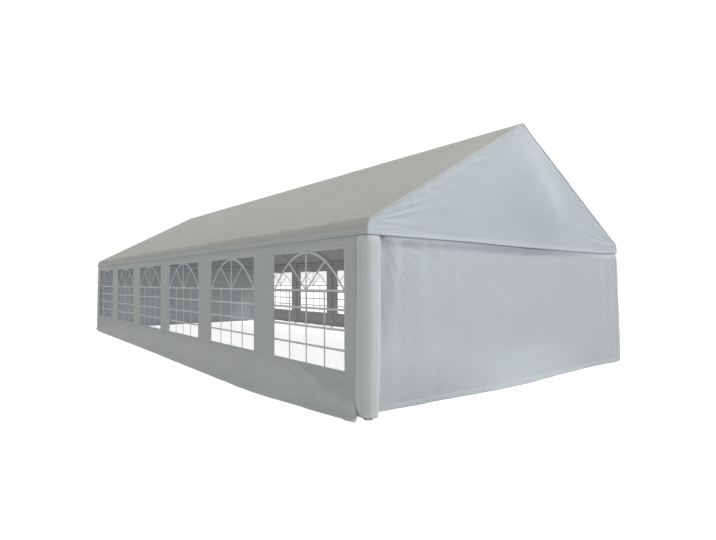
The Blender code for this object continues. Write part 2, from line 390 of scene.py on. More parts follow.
# Materials

def new_material(name):
    mat = bpy.data.materials.new(name)
    mat.use_nodes = True
    tree = mat.node_tree
    return mat, tree, tree.nodes["Principled BSDF"]


def fill(tree, made, inputs):
    """Set a node's inputs to values, or link them to the outputs of others."""
    for key, value in inputs.items():
        if hasattr(value, "is_output"):
            tree.links.new(value, made.inputs[key])
        else:
            made.inputs[key].default_value = value


def node(tree, kind, inputs, **settings):
    made = tree.nodes.new(kind)
    for key, value in settings.items():
        setattr(made, key, value)
    fill(tree, made, inputs)
    return made


def math_node(tree, operation, *values, clamp=False):
    inputs = dict(enumerate(values))
    return node(tree, "ShaderNodeMath", inputs, operation=operation, use_clamp=clamp).outputs[0]


def noise_node(tree, spot, scale, detail, roughness=0.5):
    inputs = {"Vector": spot, "Scale": scale, "Detail": detail, "Roughness": roughness}
    return node(tree, "ShaderNodeTexNoise", inputs).outputs[0]


def spread_node(tree, value, low, high, at_low, at_high):
    """The value's way from low to high, laid between two other numbers."""
    inputs = {0: value, 1: low, 2: high, 3: at_low, 4: at_high}
    return node(tree, "ShaderNodeMapRange", inputs, clamp=True).outputs[0]


def bump_node(tree, height, strength, distance, **more):
    inputs = {"Strength": strength, "Distance": distance, "Height": height, **more}
    return node(tree, "ShaderNodeBump", inputs).outputs[0]


def scaled(colour, factor):
    return (*(c * factor for c in colour), 1)


def mix_colour(tree, factor, a, b):
    return node(tree, "ShaderNodeMix", {0: factor, 6: a, 7: b}, data_type="RGBA").outputs[2]


def fabric(
    name, colour, shade=0.93, roughness=0.6, dust_and_shade=0.25, gloss=0.3, dust_and_shade_z=(0.0, 0.3), drawn=(1, 1, 1)
):
    """Coated woven sheet: a fine weave under a satin coating, faint clouds of colour, and low parts
    darkened: dust on some sheets, painted shade on others.
    """
    mat, tree, shader = new_material(name)
    place = node(tree, "ShaderNodeTexCoord", {})
    uv, spot = place.outputs["UV"], place.outputs["Object"]
    # Drawn out, as on the roof, the clouds become diagonal bands that stand in for the shade of broad
    # folds: painted shade.
    turned = {"Vector": spot, "Rotation": (0, 0, math.radians(45)), "Scale": drawn}
    clouds = noise_node(tree, node(tree, "ShaderNodeMapping", turned).outputs[0], 1.3, 5.0, 0.6)
    patchy = math_node(tree, "MULTIPLY_ADD", clouds, 1.6, -0.3, clamp=True)
    base = mix_colour(tree, patchy, scaled(colour, shade), (*colour, 1))
    grain = math_node(tree, "MULTIPLY", noise_node(tree, spot, 160.0, 2.0), 0.12)
    base = mix_colour(tree, grain, base, scaled(colour, 0.7))
    # Darker towards the bottom, in patches: dust on the end walls and sleeves, painted shade on the roof
    # and the side walls.
    height = node(tree, "ShaderNodeSeparateXYZ", {0: spot}).outputs[2]
    low = spread_node(tree, height, *dust_and_shade_z, 1.0, 0.0)
    dust_and_shade_spots = math_node(tree, "MULTIPLY", low, noise_node(tree, spot, 5.0, 6.0))
    dust_and_shade_amount = math_node(tree, "MULTIPLY", dust_and_shade_spots, dust_and_shade, clamp=True)
    base = mix_colour(tree, dust_and_shade_amount, base, (0.16, 0.15, 0.13, 1))
    split = node(tree, "ShaderNodeSeparateXYZ", {0: uv})
    phases = [math_node(tree, "MULTIPLY", split.outputs[axis], math.tau / WEAVE) for axis in (0, 1)]
    threads = math_node(tree, "MULTIPLY", *(math_node(tree, "SINE", phase) for phase in phases))
    weave = bump_node(tree, threads, 0.10, 0.0006)
    bump = bump_node(tree, noise_node(tree, spot, 14.0, 7.0, 0.62), 0.28, 0.004, Normal=weave)
    dull = spread_node(tree, clouds, 0.3, 0.7, roughness - 0.07, roughness + 0.08)
    fill(tree, shader, {"Base Color": base, "Normal": bump, "Roughness": dull, "Specular IOR Level": gloss})
    return mat


def steel(name, colour=(0.50, 0.51, 0.52), roughness=0.38):
    """Hot-dip zinc: small spangles, dull streaks and some white bloom."""
    mat, tree, shader = new_material(name)
    spot = node(tree, "ShaderNodeTexCoord", {}).outputs["Object"]
    spangle = node(tree, "ShaderNodeTexVoronoi", {"Vector": spot, "Scale": 90.0}).outputs["Color"]
    streak = noise_node(tree, spot, 6.0, 6.0)
    tone = node(tree, "ShaderNodeSeparateColor", {0: spangle}).outputs[0]
    light = (colour[0] * 1.25, colour[1] * 1.25, colour[2] * 1.27, 1)
    base = mix_colour(tree, tone, (*colour, 1), light)
    bloom = spread_node(tree, streak, 0.52, 0.75, 0.0, 0.5)
    base = mix_colour(tree, bloom, base, (0.66, 0.67, 0.67, 1))
    dull = spread_node(tree, streak, 0.3, 0.7, roughness - 0.08, roughness + 0.14)
    bump = bump_node(tree, streak, 0.15, 0.0005)
    fill(tree, shader, {"Base Color": base, "Normal": bump, "Roughness": dull, "Metallic": 0.85})
    return mat


def clear_film():
    """Clear flexible film: mostly see-through, with a soft gloss and faint haze."""
    mat, tree, shader = new_material("clear_film")
    spot = node(tree, "ShaderNodeTexCoord", {}).outputs["Object"]
    haze = noise_node(tree, spot, 2.2, 5.0)
    tint = mix_colour(tree, haze, (0.93, 0.96, 0.96, 1), (0.98, 0.99, 0.99, 1))
    bump = bump_node(tree, noise_node(tree, spot, 3.5, 3.0), 0.2, 0.01)
    veil = spread_node(tree, haze, 0.2, 0.8, 0.03, 0.07)
    fill(tree, shader, {"Base Color": tint, "Normal": bump, "Roughness": 0.12, "Alpha": veil})
    return mat


# The roof, gable, side wall, end wall and sleeve sheets are one fabric in copies, each tinted and made
# lighter or darker for how the light falls on its part: painted light and shade.
ROOF_MAT = fabric(
    # The roof: clouded in diagonal bands and darkened towards its eaves, both painted shade.
    "roof_coated_sheet", (0.565, 0.575, 0.545), shade=0.90, roughness=0.72, dust_and_shade=0.34, gloss=0.15,
    dust_and_shade_z=(1.9, 3.2), drawn=(0.22, 0.9, 0.4),
)
GABLE_MAT = fabric("gable_coated_sheet", (0.57, 0.628, 0.668))
# The side walls: darkened in patches below the sills down to the hem, as painted shade.
WALL_MAT = fabric("wall_coated_sheet", (0.52, 0.55, 0.54), dust_and_shade=0.2, dust_and_shade_z=(0.36, 0.46))
END_MAT = fabric("end_coated_sheet", (0.575, 0.623, 0.655), dust_and_shade=0.10)
COVER_MAT = fabric("cover_coated_sheet", (0.63, 0.66, 0.66), dust_and_shade=0.10)
BAR_MAT = fabric("bar_coated_sheet", (0.67, 0.70, 0.705), shade=0.94)
STEEL_MAT = steel("zinc_coated_steel")
EYELET_MAT = steel("eyelet_metal", (0.55, 0.55, 0.54), 0.3)
FILM_MAT = clear_film()


# The roof

RIDGE_ARC = RIDGE_R * PITCH
EAVE_ARC = EAVE_R * (math.pi / 2 - PITCH)
SLOPE = (HALF_W - RIDGE_R * math.sin(PITCH) - EAVE_R * (1 - math.sin(PITCH))) / math.cos(PITCH)
EAVE_END_Z = RIDGE_Z - RIDGE_R * (1 - math.cos(PITCH)) - SLOPE * math.sin(PITCH) - EAVE_R * math.cos(PITCH)
VALANCE = EAVE_END_Z - VALANCE_Z
HALF_SECTION = RIDGE_ARC + SLOPE + EAVE_ARC + VALANCE
EAVE_S = RIDGE_ARC + SLOPE


def roof_section(s):
    """x, z and the normal's angle from upright, at a distance from the ridge along the sheet."""
    side, s = np.sign(s), np.abs(s)
    a = np.clip(s, 0, RIDGE_ARC) / RIDGE_R
    b = np.clip(s - RIDGE_ARC, 0, SLOPE)
    c = PITCH + np.clip(s - EAVE_S, 0, EAVE_ARC) / EAVE_R
    d = np.clip(s - EAVE_S - EAVE_ARC, 0, None)
    x = RIDGE_R * np.sin(a) + b * math.cos(PITCH) + EAVE_R * (np.sin(c) - math.sin(PITCH))
    z = RIDGE_Z - RIDGE_R * (1 - np.cos(a)) - b * math.sin(PITCH)
    z = z - EAVE_R * (math.cos(PITCH) - np.cos(c)) - d
    turn = a + c - PITCH
    return side * x, z, side * turn


def roof_height(s, y):
    """How far the roof sheet stands off its plain section."""
    along = np.abs(s)
    total = np.zeros_like(s)
    on_slope = np.sin(np.pi * np.clip((along - 0.1) / (EAVE_S - 0.1), 0, 1))
    rng = np.random.default_rng(5)
    for near, far in zip(FRAMES_Y, FRAMES_Y[1:]):
        t = np.clip((y - near) / (far - near), 0, 1)
        for half in (s < 0, s >= 0):
            total -= half * rng.uniform(0.022, 0.034) * np.sin(np.pi * t) ** 0.7 * on_slope
    slack = hump(along, 0.05, 0.4, EAVE_S - 0.1, EAVE_S + 0.1)
    total += 0.009 * cloudy((along - y) / 2.4, (along + y) / 0.8, 21, 2) * slack
    total += 0.0012 * noise(s / 0.25, y / 0.3, 31)
    for k, y0 in enumerate(FRAMES_Y):
        aims = (-152, -128, -112, 112, 128, 152)
        aims = [a for a in aims if abs(y0 + 0.4 * math.sin(math.radians(a))) < HALF_L]
        for side in (-1, 1):
            spot = (side * (EAVE_S - 0.06), y0)
            turned = aims if side > 0 else [180 - a for a in aims]
            total += fan(s, y, spot, turned, 0.035, 0.003, 40 + 2 * k + (side > 0), (0.35, 1.0))
    from_frame = np.min([np.abs(y - y0) for y0 in FRAMES_Y], axis=0)
    total = np.maximum(total, -0.0035 - 0.12 * np.maximum(from_frame - 0.02, 0))
    drop = np.clip((along - EAVE_S - EAVE_ARC) / VALANCE, 0, 1)
    wave = 0.004 * cloudy(y / 0.5, np.sign(s) * 3, 60) + 0.0012 * noise(y / 0.09, np.sign(s) * 2, 63)
    total += drop * np.maximum(wave, -0.0005)
    for y0 in FRAMES_Y[1:-1]:
        total += 0.0004 * raised(y, y0, ROOF_SEAM)
    total += hem_relief(HALF_SECTION - along, thick=0.0012)
    return total * (1 - ramp(np.abs(y), HALF_L - RAKE_FREE, HALF_L - 0.055))


def rake_radius(s):
    """The radius of the roof sheet's turn over the end frames, at a distance from the ridge."""
    s = np.abs(s)
    return RAKE_R + (RAKE_WIDE - RAKE_R) * hump(s, RIDGE_ARC, 0.25, EAVE_S - 0.35, EAVE_S + EAVE_ARC)


def make_roof():
    hem_rows = [HALF_SECTION - d for d in (0, 0.006, STITCH, HEM_W, HEM_STEP, HEM_W + 0.012)]
    half = samples([0, RIDGE_ARC, 0.1, EAVE_S - 0.25, EAVE_S, EAVE_S + EAVE_ARC, *hem_rows], 0.058)
    fine = samples([EAVE_S - 0.02, EAVE_S + EAVE_ARC, HALF_SECTION - HEM_W], 0.012)
    half = np.unique(np.round(np.concatenate([half, fine]), 5))
    s = np.concatenate([-half[:0:-1], half])
    edge = HALF_L - RAKE_WIDE - 0.005
    breaks = [-edge, edge, -edge + 0.04, edge - 0.04]
    for y0 in FRAMES_Y[1:-1]:
        breaks += band(y0, ROOF_SEAM)
    ys = samples(breaks, 0.05)
    big_s, big_y = np.meshgrid(s, ys, indexing="ij")
    radius = rake_radius(s)[:, None]
    angles = np.radians((6, 20, 34, 48, 62, 76, 90))[None, :]
    outer = HALF_L - radius * (1 - np.sin(angles))
    inset = radius * (1 - np.cos(angles))
    depth = np.concatenate([inset[:, ::-1], np.zeros_like(big_y), inset], axis=1)
    big_y = np.concatenate([-outer[:, ::-1], big_y, outer], axis=1)
    big_s = np.repeat(s[:, None], big_y.shape[1], axis=1)
    x, z, turn = roof_section(big_s)
    height = roof_height(big_s, np.clip(big_y, -edge, edge)) - depth
    ruffle = rake_ruffle(big_s) * ramp(np.abs(big_y), HALF_L - RAKE_FREE, HALF_L)
    ruffled_y = big_y + np.sign(big_y) * ruffle
    points = stacked(x + height * np.sin(turn), ruffled_y, z + height * np.cos(turn))
    walk = np.cumsum(np.hypot(np.diff(big_y, axis=1), np.diff(depth, axis=1)), axis=1)
    walk = np.concatenate([np.zeros_like(radius), walk], axis=1)
    name = "roof_sheet"
    mesh = grid_mesh(name, points, lambda c: c * (1, 0, 1) + (0, 0, 0.1), stacked(big_s, walk))
    roof = piece(name, mesh, ROOF_MAT, "roof_fabric", "roof_left", "roof_right", thick=CLOTH)
    mesh.materials.append(GABLE_MAT)
    mesh.materials.append(WALL_MAT)
    # The rake folds take the gable's lighter copy and the valance takes the side wall's darker copy of the
    # fabric: painted light and shade.
    columns = big_y.shape[1] - 1
    for face in mesh.polygons:
        if face.index % columns in (0, columns - 1):
            face.material_index = 1
        elif face.center.z < EAVE_END_Z + 0.01:
            face.material_index = 2


# Gables and end walls

def gable_height(x, z, top, seed, flip):
    """How far a gable sheet stands out of its plane; x runs to the right seen from outside."""
    up = z - GABLE_HEM_Z
    to_rake = (top - z) * math.cos(PITCH)
    total = 0.010 * bell(x, 1.4) * bell(z - 2.5, 0.5)
    total += 0.005 * cloudy(x / 0.9, z / 0.6, seed)
    total += broad_fold(x, z) + puckers(x, z, seed)
    aims = (-4, 1, 5, 9, 14, 19, 24)
    total += twin_fans(x, z, 2.93, GABLE_HEM_Z + 0.14, aims, 0.045, 0.0032, seed + 10, (0.8, 2.4))
    aims = (1, 4, 7, 10, 13)
    total += twin_fans(x, z, 2.95, GABLE_HEM_Z + 0.02, aims, 0.022, 0.0018, seed + 20, (0.6, 1.6))
    total += 0.0035 * noise(x / 0.16, z / 0.5, seed + 3) * bell(up, 0.16)
    total = total * (0.75 + 0.25 * ramp(up, 0.0, 0.6))
    total += hem_relief(up, groove=0.0018)
    away = ramp(to_rake, 0.01, 0.09)
    up_slope = np.abs(x) / math.cos(PITCH) + (top - z) * math.sin(PITCH)
    edge = 0.0020 + rake_ruffle(-flip * np.sign(x) * up_slope)
    edge += 0.0030 * noise(up_slope / 0.07, to_rake / 0.06, seed) * ramp(to_rake, 0.02, 0.06)
    lowest = -0.005 + 0.006 * ramp(np.abs(x), 2.45, 2.65) * (1 - ramp(up, 0.06, 0.16))
    return np.clip(total, lowest, 0.09) * away + edge * np.exp(-((np.maximum(to_rake, 0) / 0.09) ** 1.5))


def broad_fold(x, z):
    """One wide fold that runs from the peak down to the right, steeper on its upper side."""
    across = (x + 0.10) * 0.714 + (z - 3.50) * 0.70 + 0.20
    along = (x + 0.10) * 0.70 - (z - 3.50) * 0.714
    return 0.062 * bell(across, np.where(across > 0, 0.36, 0.7)) * hump(along, -0.1, 0.5, 1.2, 1.9)


def puckers(x, z, seed):
    """Short, nearly level creases that start where the gable is sewn to the roof."""
    rng = np.random.default_rng(seed + 60)
    total = np.zeros_like(x)
    for side in (-1, 1):
        start = rng.uniform(0.1, 0.3)
        while start < 2.75:
            spot = (side * start, RIDGE_Z - 0.045 - start * math.tan(PITCH))
            length = rng.uniform(0.3, 0.8) * min(1, start)
            end = (spot[0] - side * length, spot[1] + length * rng.uniform(0.08, 0.32))
            sign = rng.choice((-1, 1))
            total += crease(x, z, spot, end, rng.uniform(0.014, 0.028), sign * rng.uniform(0.0018, 0.0045))
            start += rng.uniform(0.07, 0.18)
    return total


def make_gable(flip, word):
    s = np.linspace(0, HALF_SECTION, 2000)
    line_x, line_z, turn = roof_section(s)
    tuck = rake_radius(s) - 0.003
    reach = HALF_W - tuck[-1]
    near_end = GABLE_HALF - np.array([0, 2, 5, 9, 14, 20]) / 500
    x = samples([-GABLE_HALF, -2.84, 0, 2.84, GABLE_HALF], 0.024)
    x = np.unique(np.clip(np.round(np.concatenate([x, near_end, -near_end]), 5), -reach, reach))
    top = np.interp(np.abs(x), line_x - tuck * np.sin(turn), line_z - tuck * np.cos(turn))
    rise = top[:, None] - GABLE_HEM_Z
    hem = np.array([0, *HEM_MARKS])
    in_hem = np.minimum(hem, rise * hem / (HEM_W + 0.02))
    start = HEM_STEP * (rise > 0.06)
    above = start + (rise - start) * np.linspace(0, 1, 62)[1:]
    z = np.maximum.accumulate(np.concatenate([in_hem, above], axis=1), axis=1) + GABLE_HEM_Z
    big_x = np.repeat(x[:, None], z.shape[1], axis=1)
    seen_x = big_x * -flip
    height = gable_height(seen_x, z, top[:, None], 100 if flip < 0 else 140, flip)
    sag = 0.018 * hump(seen_x, -1.5, 0.2, 2.3, 2.9) * (1 - ramp(z, GABLE_HEM_Z, GABLE_HEM_Z + 0.5))
    points = stacked(big_x, flip * (GABLE_TOP.y + height), z - sag)
    name = f"gable_sheet_{word}"
    mesh = grid_mesh(name, points, (0, flip, 0), points[..., [0, 2]])
    sheet = piece(name, mesh, GABLE_MAT, "gable_fabric", f"gable_{word}", thick=CLOTH)


def end_wall_height(x, z, seed):
    """How far an end sheet stands off its solid; x runs to the right seen from outside."""
    above = z - END_LOW.z
    up = above / (END_TOP.z - END_LOW.z)
    half = END_TOP.x
    total = -0.050 * np.clip(-x / half, 0, 1) ** 12 * hump(up, -0.3, 0.5, 0.55, 0.95)
    strength = 0.0016 + 0.021 * bell(x + half, 0.95) + 0.004 * bell(x - half, 0.6)
    folds = noise(x / 0.15 + 0.35 * noise(x, z / 0.9, seed + 1) + 0.5 * up, z / 2.6, seed)
    total += folds * strength * (0.35 + 0.65 * up)
    total += 0.009 * cloudy(x / 0.8, z / 0.9, seed + 4)
    aims = (-82, -70, -58, -44, -30, -16)
    total += twin_fans(x, z, half, END_TOP.z - 0.04, aims, 0.035, 0.008, seed + 8, (0.6, 1.9), 0.625)
    total += twin_fans(x, z, half, END_LOW.z + 0.05, (12, 30, 55), 0.03, 0.005, seed + 12, (0.5, 1.1))
    total += 0.006 * noise(x / 0.35, z * 0, seed + 15) * np.exp(-above / 0.2)
    total += through(x, END_HEM_X, END_HEM_OUT) * np.clip(1 - above / 0.5, 0, 1) ** 1.5
    by_sleeve = 1 - ramp(x, -half, -half + 0.10)
    over_sleeve = ramp(x, half - 0.12, half - 0.01)
    swell = SWELL * ramp(z, 0.6, 1.8)
    total += swell * (1 - over_sleeve) * (1 - by_sleeve)
    total += (AT_SLEEVE - swell) * ramp(x, 0.8, half - 0.02)
    total = total * (1 - over_sleeve) + (AT_SLEEVE + 0.0006 * folds) * over_sleeve
    at_tie = ramp(z, 1.79 + 0.10 * by_sleeve, 1.87 + 0.06 * by_sleeve)
    total = total * (1 - at_tie) + (AT_TIE + (AT_SLEEVE - AT_TIE) * over_sleeve) * at_tie
    total += SLEEVE_FRONT * ramp(x, half - 0.4, half) * (1 - ramp(z, *FRONT_Z))
    return total + hem_relief(np.minimum(np.minimum(half + x, half + END_LAP - x), above))


def make_end_wall(flip, word):
    x = edge_rows(END_LOW.x, END_TOP.x + END_LAP, 0.028)
    z = edge_rows(END_LOW.z, END_TOP.z, 0.03, at_high=False, more=(ELBOW_Z[1],))
    big_x, big_z = np.meshgrid(x, z, indexing="ij")
    height = end_wall_height(big_x, big_z, 200 if flip < 0 else 240)
    lift = 0.004 - 0.020 * ramp(big_x, END_LOW.x, END_LOW.x + 0.8)
    lift = lift * (1 - ramp(big_z, END_LOW.z, END_LOW.z + 0.5))
    beside = through(big_z, SLEEVE_IN_Z, SLEEVE_IN) * (1 - ramp(big_x, END_LOW.x, END_LOW.x + 0.5))
    beside = beside - 0.0035 * (1 - ramp(big_x, END_LOW.x, END_LOW.x + 0.1))
    points = stacked(-flip * (big_x + beside), flip * (END_TOP.y + height), big_z + lift)
    name = f"end_sheet_{word}"
    mesh = grid_mesh(name, points, (0, flip, 0), stacked(big_x, big_z))
    sheet = piece(name, mesh, END_MAT, "end_fabric", f"end_wall_{word}", thick=CLOTH)
    spots = [(x[0] + EYELET_IN, 0.03), (x[-1] - EYELET_IN, 0.03)]
    spots += [(k, EYELET_IN) for k in range(-2, 3)]
    places = []
    for spot_x, up in spots:
        places.append((points[nearest(x, spot_x), nearest(z, END_LOW.z + up)], (0, flip, 0)))
    eyes = eyelets(f"end_eyelets_{word}", places)


# Side walls

def sleeve_lean(corner, z):
    """How far a corner sleeve stands out from its leg at a height."""
    return SLEEVE_LEAN[corner][0] * (1 - np.clip(z / VALANCE_Z, 0, 1) ** 2.2)


def rounded_out(on_left, y, z):
    """How far the outer side of a sleeve on an end wall's left is rounded out over its leg."""
    rise = ramp(y, COVER_LOW.y, COVER_LOW.y + 0.06)
    crown = 0.008 * rise * (1 - ramp(y, COVER_LOW.y + 0.06, COVER_LOW.y + 0.15))
    return (SLEEVE_OUT * rise + crown) * on_left * (1 - ramp(z, *ELBOW_Z))


def wall_base(side, front, along, z):
    """Points of a side wall before its creases: upright, and drawn outwards below the bend."""
    y_sign = -1 if front else 1
    corner_word = f"{end_word(front)}_{side_word(side)}"
    at_foot, hem_end = SLEEVE_LEAN[corner_word]
    beside = ramp(along, WALL_END_Y - 0.8, WALL_END_Y)
    hem = HEM_FRONT if front else HEM_BACK
    reach = through(np.maximum(along, 0), HEM_Y, hem) + beside * (hem_end - hem[-1])
    bend_z = WALL_BEND_Z + 0.02
    t = np.clip((bend_z - z) / (bend_z - HEM_Z), 0, 1)
    steep = PLAIN_FLARE * (FLARE / PLAIN_FLARE) ** ramp(along, WALL_END_Y - 1.3, WALL_END_Y)
    x = WALL_X + beside * sleeve_lean(corner_word, z) + (reach - WALL_X - beside * at_foot) * t**steep
    corner = ramp(along, WALL_END_Y - 0.9, WALL_END_Y) * HEM_CORNER * t ** (0.6 * steep)
    lap = (0.034 * ramp(z, 0.5, 1.7) - 0.002) * ramp(along, WALL_END_Y - 0.14, WALL_END_Y)
    y = along + corner + lap
    x = x + rounded_out(side * y_sign > 0, y, z)
    return stacked(side * x, y_sign * y, z)


def wall_height(along, z, seed):
    """How far a side sheet stands off its plain shape: slack, creases, welds and hems."""
    total = 0.004 * cloudy(along / 0.8, z / 0.7, seed)
    gap = np.min([np.abs(along - y) for y in WINDOW_Y], axis=0) - WINDOW_HALF
    between = ramp(gap, 0.0, 0.12)
    total += between * 0.006 * noise(along / 0.11, z / 1.6, seed + 2)
    lower = 1 - ramp(z, WALL_BEND_Z - 0.08, SILL_Z + 0.04)
    total += lower * 0.010 * noise(along / 0.30 + 0.4 * noise(along, z * 3, seed + 6), z / 0.5, seed + 3)
    for k, y0 in enumerate(PEGS_Y):
        aims = (35, 58, 75, 92, 108, 124, 146)
        total += fan(along, z, (y0, HEM_Z), aims, 0.034, 0.0075, seed + 20 + k, (0.32, 0.75))
    rng = np.random.default_rng(seed + 90)
    for y0 in WINDOW_Y:
        for side in (-1, 1, 1):  # two of three run to the same side
            start = (y0 - side * (WINDOW_HALF - rng.uniform(-0.02, 0.25)), SILL_Z - 0.015)
            end = (start[0] + side * rng.uniform(0.6, 1.2), HEM_Z + rng.uniform(0.02, 0.14))
            total += crease(along, z, start, end, rng.uniform(0.030, 0.055), rng.uniform(-0.014, 0.014))
    for start, end, width, depth in WALL_CREASES:
        total += crease(along, z, start, end, width, depth)
    for k, y0 in enumerate(WINDOW_Y):
        u, half = along - y0, WINDOW_HALF + 0.01
        aims = (-100, -75, -55, -35)
        total += twin_fans(u, z, half, SILL_Z - 0.01, aims, 0.020, 0.007, seed + 40 + 2 * k, (0.3, 0.6))
        aims = (70, 110, 140)
        total += twin_fans(u, z, half, HEAD_Z + 0.02, aims, 0.014, 0.003, seed + 60 + 2 * k, (0.1, 0.25))
    from_window = np.maximum(gap, np.maximum(SILL_Z - z, z - HEAD_Z))
    total = np.clip(total * ramp(from_window, 0.02, 0.12), -0.016, 0.022)
    total = np.where(z > WALL_BEND_Z, np.maximum(total, -0.002), total)
    total = np.where(z > VALANCE_Z - 0.06, total * 0.1, total)
    total = total * (0.08 + 0.92 * ramp(WALL_END_Y - along, 0.03, 0.2))
    for y0 in WALL_SEAMS_Y:
        total += 0.0009 * raised(along, y0, WALL_SEAM)
    total += hem_relief(z - HEM_Z) + hem_relief(WALL_END_Y - along, thick=0.0009, groove=0)
    return total + 0.0008 * ramp(z, *TOP_BAND_Z)


def make_side_wall(side, front):
    word = f"{side_word(side)}_{end_word(front)}"
    outward = (side, 0, 0.3)
    start = -OVERLAP if front else 0.0015
    end = WALL_END_Y + 0.006
    breaks = [start, end, WALL_END_Y - HEM_W, WALL_END_Y - HEM_STEP]
    for y0 in WINDOW_Y:
        breaks += [y0 - WINDOW_HALF, y0 + WINDOW_HALF]
    for y0 in WALL_SEAMS_Y:
        breaks += band(y0, WALL_SEAM)
    along = samples(breaks, 0.026)
    hem = [HEM_Z + h for h in (0, *HEM_MARKS, 0.012, 0.02, 0.028)]
    z = samples([*hem, SILL_Z, HEAD_Z, *TOP_BAND_Z, WALL_TOP_Z], 0.024)
    big_y, big_z = np.meshgrid(along, z, indexing="ij")
    points = wall_base(side, front, big_y, big_z)
    height = wall_height(big_y, big_z, 300 + 100 * (side > 0) + 50 * front)
    height = height + 0.0022 * front * (1 - ramp(big_y, 0.0, 0.12))
    points = points + normals(points, outward) * height[..., None]
    points[..., 2] = np.maximum(points[..., 2], HEM_Z)
    middle_y = (along[1:] + along[:-1]) / 2
    middle_z = (z[1:] + z[:-1]) / 2
    from_window = np.min([np.abs(middle_y - y0) for y0 in WINDOW_Y], axis=0)
    hole = (from_window < WINDOW_HALF)[:, None] & (middle_z > SILL_Z) & (middle_z < HEAD_Z)
    name = f"wall_sheet_{word}"
    mesh = grid_mesh(name, points, outward, stacked(big_y, big_z), keep=~hole)
    replaced = (f"side_wall_{word}", f"wall_skirt_{word}")
    sheet = piece(name, mesh, WALL_MAT, "wall_fabric", *replaced, thick=CLOTH)
    out = normals(points, outward)
    row = nearest(z, HEM_Z + 0.026)
    places = [(points[i, row], out[i, row]) for i in (nearest(along, y0) for y0 in WALL_EYELETS_Y)]
    eyes = eyelets(f"wall_eyelets_{word}", places)
    bars = [make_window(side, -y0 if front else y0, word, k) for k, y0 in enumerate(WINDOW_Y, 1)]


def strip(path, width, low, high):
    """A flat strip with bevelled edges along a path of (y, z), from x = low to x = high."""
    path = np.asarray(path, float)
    step = np.gradient(path, axis=0)
    step /= np.linalg.norm(step, axis=1, keepdims=True)
    across = np.stack([-step[:, 1], step[:, 0]], axis=1)
    section = bevelled(width, low, high, 0.0025)
    points = [(x, *(p + a * off)) for p, a in zip(path, across) for off, x in section]
    total, count = len(points), len(section)
    faces = [(a, d, c, b) for a, b, c, d in faces_between(len(path), count, closed=False)]
    faces += [tuple(range(count))[::-1], tuple(range(total - count, total))]
    return np.array(points), faces


def mirrored(part, side, shift):
    """A strip moved along the wall to its window, and turned over for the left side."""
    points, faces = part
    points = points * (side, 1, 1) + (0, shift, 0)
    if side < 0:
        faces = [face[::-1] for face in faces]
    return points, faces


def arch_z(y):
    """The height of the window's arch at a distance from its middle."""
    return SPRING_Z + (HEAD_Z - SPRING_Z) * (1 - np.abs(y / WINDOW_HALF) ** 2.1)


def weld_rim():
    """The welded margin round a window: one closed frame with mitred corners."""
    middle = WELD_W / 2 - 0.004
    section = bevelled(WELD_W, WALL_X - 0.001, WALL_X + 0.0018, 0.003)
    points = []
    for sy, sz in ((-1, -1), (1, -1), (1, 1), (-1, 1)):
        for off, x in section:
            y = sy * (WINDOW_HALF + middle + off)
            z = SILL_Z - middle - off if sz < 0 else HEAD_Z + middle + off
            points.append((x, y, z))
    return np.array(points), faces_between(4, len(section))


def make_window(side, y0, word, number):
    """One window: its film, the bars welded on it and the margin round it."""
    h = WINDOW_HALF
    arch_y = (h - BAR_W / 2) * np.sin(np.linspace(-1, 1, 41) * math.pi / 2)
    spoke_z = float(arch_z(SPOKE_Y)) - 0.01
    level = [[(-h, z), (h, z)] for z in (*BAR_Z, SPRING_Z)]
    upright = [[(y, SILL_Z), (y, top)] for y, top in ((-h / 2, SPRING_Z), (h / 2, SPRING_Z), (0, HEAD_Z))]
    arch = [[(y, arch_z(y) - 0.006) for y in arch_y]]
    spokes = [[(0, SPRING_Z), (y, spoke_z)] for y in (-SPOKE_Y, SPOKE_Y)]
    back, face = FILM_X - 0.0006, WALL_X - 0.0028
    parts = []
    for paths, width, lift in (
        (level, BAR_W, 0), (upright, BAR_W, -0.0004), (arch, BAR_W, 0.0004), (spokes, BAR_W * 0.9, -0.0008),
    ):
        parts += [strip(path, width, back, face + lift) for path in paths]
    turned = [mirrored(part, side, y0) for part in (*parts, weld_rim())]
    mesh = mesh_of("bars", turned)
    layer = mesh.uv_layers.new(name="metres")
    for loop in mesh.loops:
        layer.data[loop.index].uv = mesh.vertices[loop.vertex_index].co.yz
    bars = piece(f"window_bars_{word}_{number}", mesh, BAR_MAT, "wall_fabric")
    mesh.materials.append(WALL_MAT)
    rim_faces = turned[-1][1]
    for face in mesh.polygons[-len(rim_faces):]:
        face.material_index = 1
    make_film(side, y0, word, number)
    return bars


def make_film(side, y0, word, number):
    y = samples([-WINDOW_HALF - FILM_LAP, WINDOW_HALF + FILM_LAP], 0.06)
    z = samples([SILL_Z - FILM_LAP, HEAD_Z + FILM_LAP], 0.06)
    big_y, big_z = np.meshgrid(y, z, indexing="ij")
    rim = np.minimum(WINDOW_HALF - np.abs(big_y), np.minimum(big_z - SILL_Z, HEAD_Z - big_z))
    slack = ramp(rim, 0, 0.3) * 0.0035 * (noise(big_y / 0.4 + y0, big_z / 0.5, 500) - 0.9)
    points = stacked(side * (FILM_X - 0.0004 + slack), big_y + y0, big_z)
    mesh = grid_mesh("film", points, (side, 0, 0), points[..., [1, 2]])
    name = f"window_clear_{word}_{number}"
    film = piece(name, mesh, FILM_MAT, "window_film", f"window_film_{word}", thick=FILM)


# Corner covers

